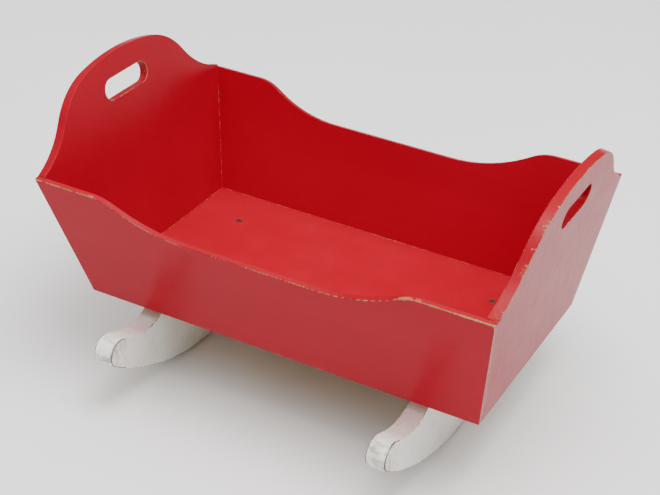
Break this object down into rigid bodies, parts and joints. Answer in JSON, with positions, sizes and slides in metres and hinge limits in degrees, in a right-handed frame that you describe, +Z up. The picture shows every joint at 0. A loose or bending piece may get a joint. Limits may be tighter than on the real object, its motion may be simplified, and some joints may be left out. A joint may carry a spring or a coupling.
{
  "type": "doll cradle",
  "caption": "Doll's cradle: a flared box with scroll-cut sides and arched ends with hand slots, screwed onto two curved rockers.",
  "frame": {"origin": "on the floor, under the middle of the cradle's overall box", "axes": "+Z up; +X along the cradle, towards the foot end; +Y across it, along the rockers"},
  "size_m": [0.599, 0.4598, 0.3626],
  "materials": {
    "red_paint": "plywood in worn red gloss paint",
    "white_paint": "solid wood in scuffed white paint",
    "screw_steel": "darkened steel",
    "pin_steel": "plain steel wire"
  },
  "bodies": {
    "root": {"front_side": "red_paint", "back_side": "red_paint", "head_end": "red_paint", "foot_end": "red_paint", "bottom_board": "red_paint", "head_rocker": "white_paint", "foot_rocker": "white_paint", "head_rocker_screws": "screw_steel", "foot_rocker_screws": "screw_steel", "front_head_corner_pins": "pin_steel", "front_foot_corner_pins": "pin_steel", "back_head_corner_pins": "pin_steel", "back_foot_corner_pins": "pin_steel", "front_bottom_pins": "pin_steel", "back_bottom_pins": "pin_steel", "head_bottom_pins": "pin_steel", "foot_bottom_pins": "pin_steel"}
  },
  "joints": []
}
